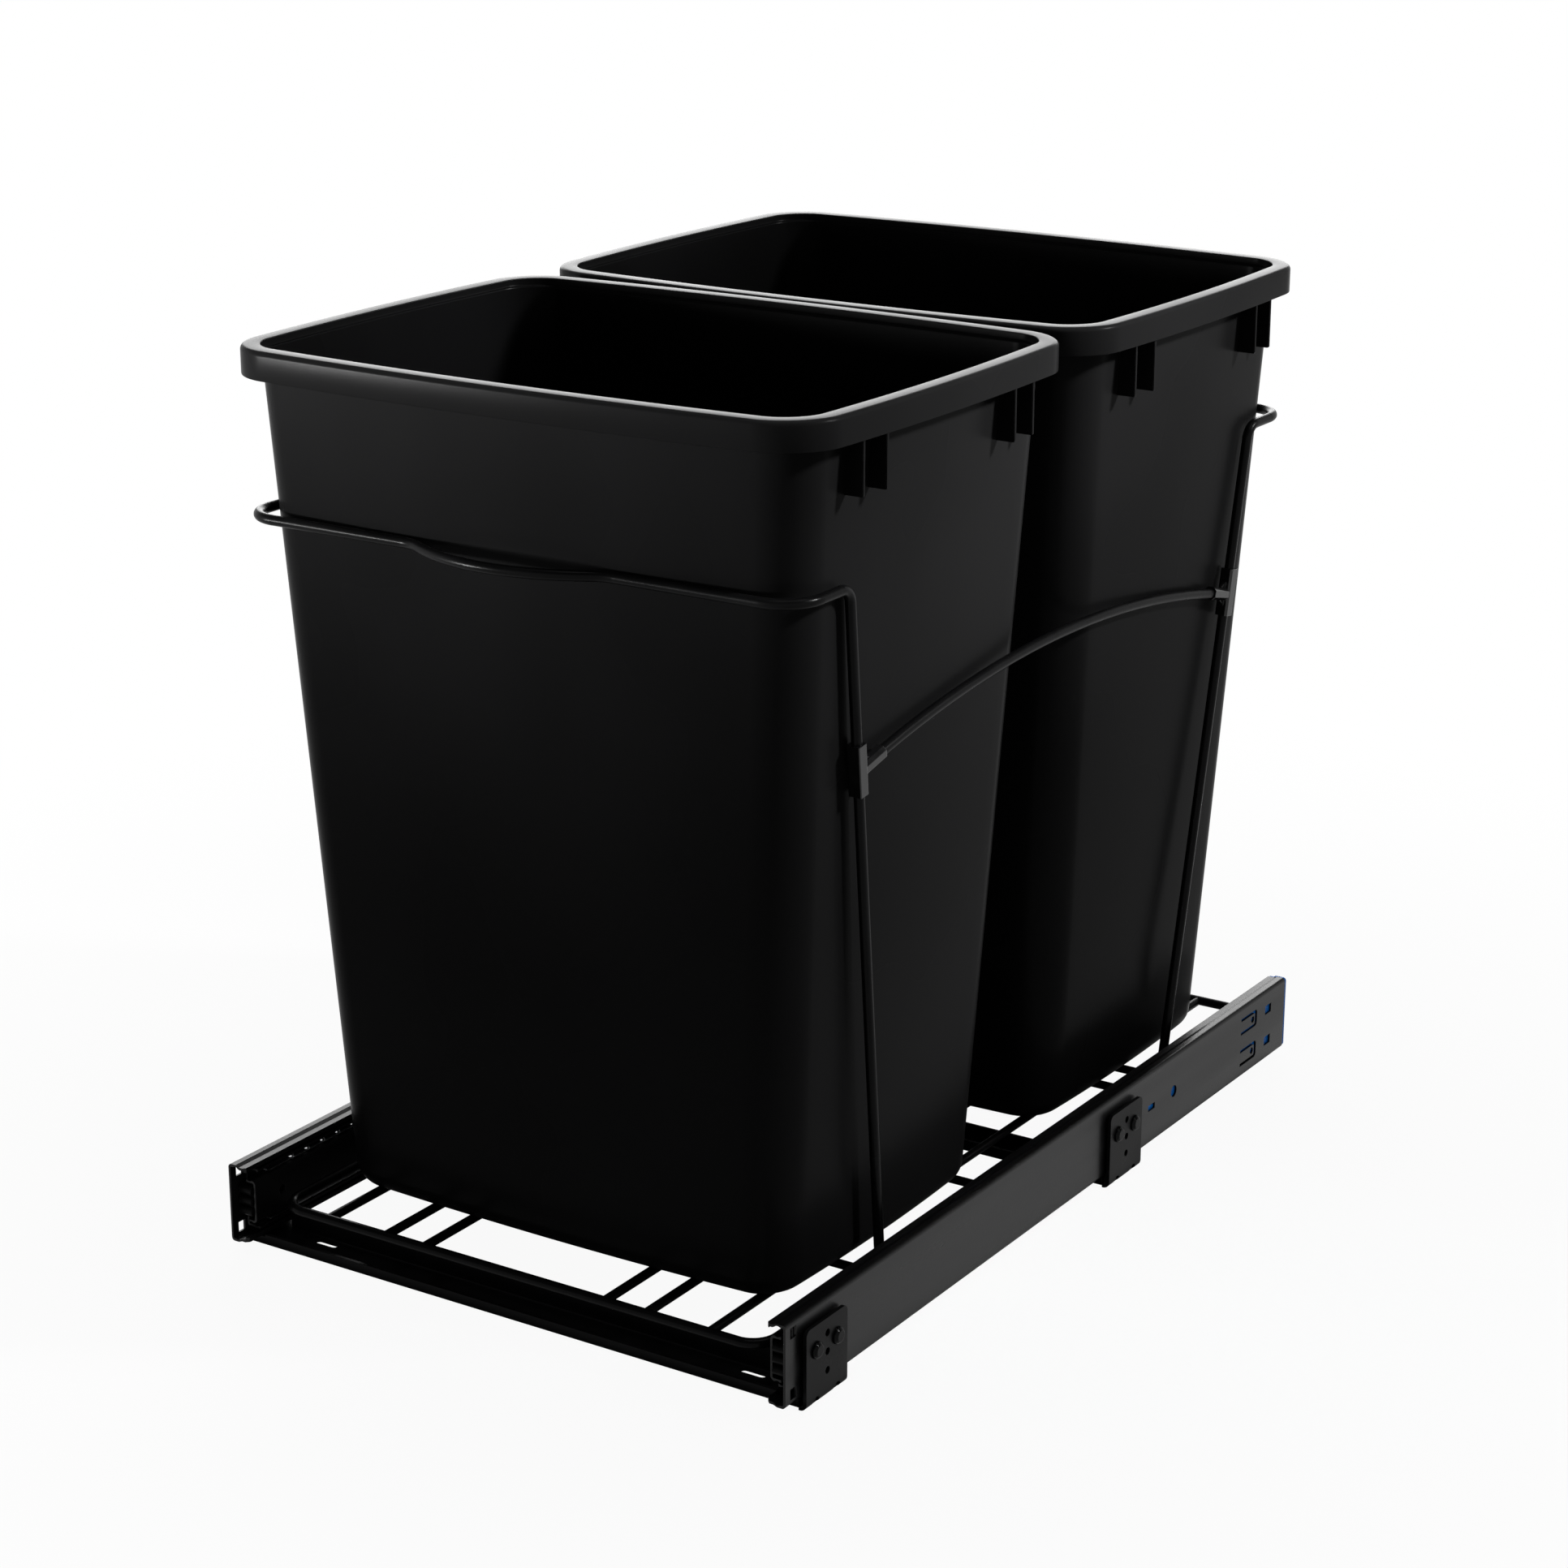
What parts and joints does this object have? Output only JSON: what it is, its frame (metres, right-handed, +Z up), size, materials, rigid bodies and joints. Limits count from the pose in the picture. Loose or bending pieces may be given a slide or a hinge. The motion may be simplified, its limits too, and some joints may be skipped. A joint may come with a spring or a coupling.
{
  "type": "pull out bin frame",
  "caption": "Wire-basket frame with tall lift-out bins that pulls out of a base cabinet on ball-bearing slides carried by channel crossbars.",
  "frame": {"origin": "middle of the footprint, on the cabinet floor under the crossbars", "axes": "+X to the right seen from the front, +Y to the back of the cabinet, +Z up; the basket pulls out towards -Y"},
  "size_m": [0.3658, 0.5588, 0.489],
  "materials": {
    "bar_coat": "satin black coat on folded sheet",
    "rail_coat": "satin black coat on roll-formed sheet",
    "rivet_black": "blackened metal",
    "soft_close_blue": "moulded blue plastic",
    "strip_steel": "bright strip",
    "ball_steel": "polished balls",
    "bumper_black": "soft black moulding",
    "wire_coat": "smooth black coat on wire",
    "clip_black": "gloss black moulding",
    "bin_black": "fine-grained black moulding"
  },
  "bodies": {
    "base": {"front_crossbar": "bar_coat", "rear_crossbar": "bar_coat", "left_rivets": "rivet_black", "left_outer_rail": "rail_coat", "left_soft_close": "soft_close_blue", "right_rivets": "rivet_black", "right_outer_rail": "rail_coat", "right_soft_close": "soft_close_blue"},
    "left_outer_bearing": {"left_outer_cage": "strip_steel", "left_outer_balls": "ball_steel"},
    "left_middle": {"left_middle_rail": "rail_coat", "left_bumper": "bumper_black", "left_front_strip": "strip_steel", "left_front_balls": "ball_steel"},
    "left_inner_bearing": {"left_inner_cage": "strip_steel", "left_inner_balls": "ball_steel"},
    "right_outer_bearing": {"right_outer_cage": "strip_steel", "right_outer_balls": "ball_steel"},
    "right_middle": {"right_middle_rail": "rail_coat", "right_bumper": "bumper_black", "right_front_strip": "strip_steel", "right_front_balls": "ball_steel"},
    "right_inner_bearing": {"right_inner_cage": "strip_steel", "right_inner_balls": "ball_steel"},
    "basket": {"left_inner_rail": "rail_coat", "left_brackets": "wire_coat", "left_bracket_rivets": "rivet_black", "left_arch": "wire_coat", "right_inner_rail": "rail_coat", "right_brackets": "wire_coat", "right_bracket_rivets": "rivet_black", "right_arch": "wire_coat", "base_ring": "wire_coat", "long_wires": "wire_coat", "cross_wires": "wire_coat", "front_hoop": "wire_coat", "rear_hoop": "wire_coat", "front_left_clip": "clip_black", "front_right_clip": "clip_black", "rear_left_clip": "clip_black", "rear_right_clip": "clip_black"},
    "front_bin": {"front_bin": "bin_black"},
    "rear_bin": {"rear_bin": "bin_black"}
  },
  "joints": [
    {"name": "basket_slide", "type": "slide", "parent": "base", "child": "basket", "axis": [0, -1, 0], "range_m": [0, 0.52]},
    {"name": "left_outer_bearing_slide", "type": "slide", "parent": "base", "child": "left_outer_bearing", "axis": [0, -1, 0], "range_m": [0, 0.13]},
    {"name": "left_middle_slide", "type": "slide", "parent": "base", "child": "left_middle", "axis": [0, -1, 0], "range_m": [0, 0.26]},
    {"name": "left_inner_bearing_slide", "type": "slide", "parent": "base", "child": "left_inner_bearing", "axis": [0, -1, 0], "range_m": [0, 0.39]},
    {"name": "right_outer_bearing_slide", "type": "slide", "parent": "base", "child": "right_outer_bearing", "axis": [0, -1, 0], "range_m": [0, 0.13]},
    {"name": "right_middle_slide", "type": "slide", "parent": "base", "child": "right_middle", "axis": [0, -1, 0], "range_m": [0, 0.26]},
    {"name": "right_inner_bearing_slide", "type": "slide", "parent": "base", "child": "right_inner_bearing", "axis": [0, -1, 0], "range_m": [0, 0.39]},
    {"name": "front_bin_lift", "type": "slide", "parent": "basket", "child": "front_bin", "axis": [0, 0, 1], "range_m": [0, 0.5]},
    {"name": "rear_bin_lift", "type": "slide", "parent": "basket", "child": "rear_bin", "axis": [0, 0, 1], "range_m": [0, 0.5]}
  ],
  "couplings": [
    {"joint": "left_outer_bearing_slide", "follows": "basket_slide", "ratio": 0.25},
    {"joint": "left_middle_slide", "follows": "basket_slide", "ratio": 0.5},
    {"joint": "left_inner_bearing_slide", "follows": "basket_slide", "ratio": 0.75},
    {"joint": "right_outer_bearing_slide", "follows": "basket_slide", "ratio": 0.25},
    {"joint": "right_middle_slide", "follows": "basket_slide", "ratio": 0.5},
    {"joint": "right_inner_bearing_slide", "follows": "basket_slide", "ratio": 0.75}
  ]
}
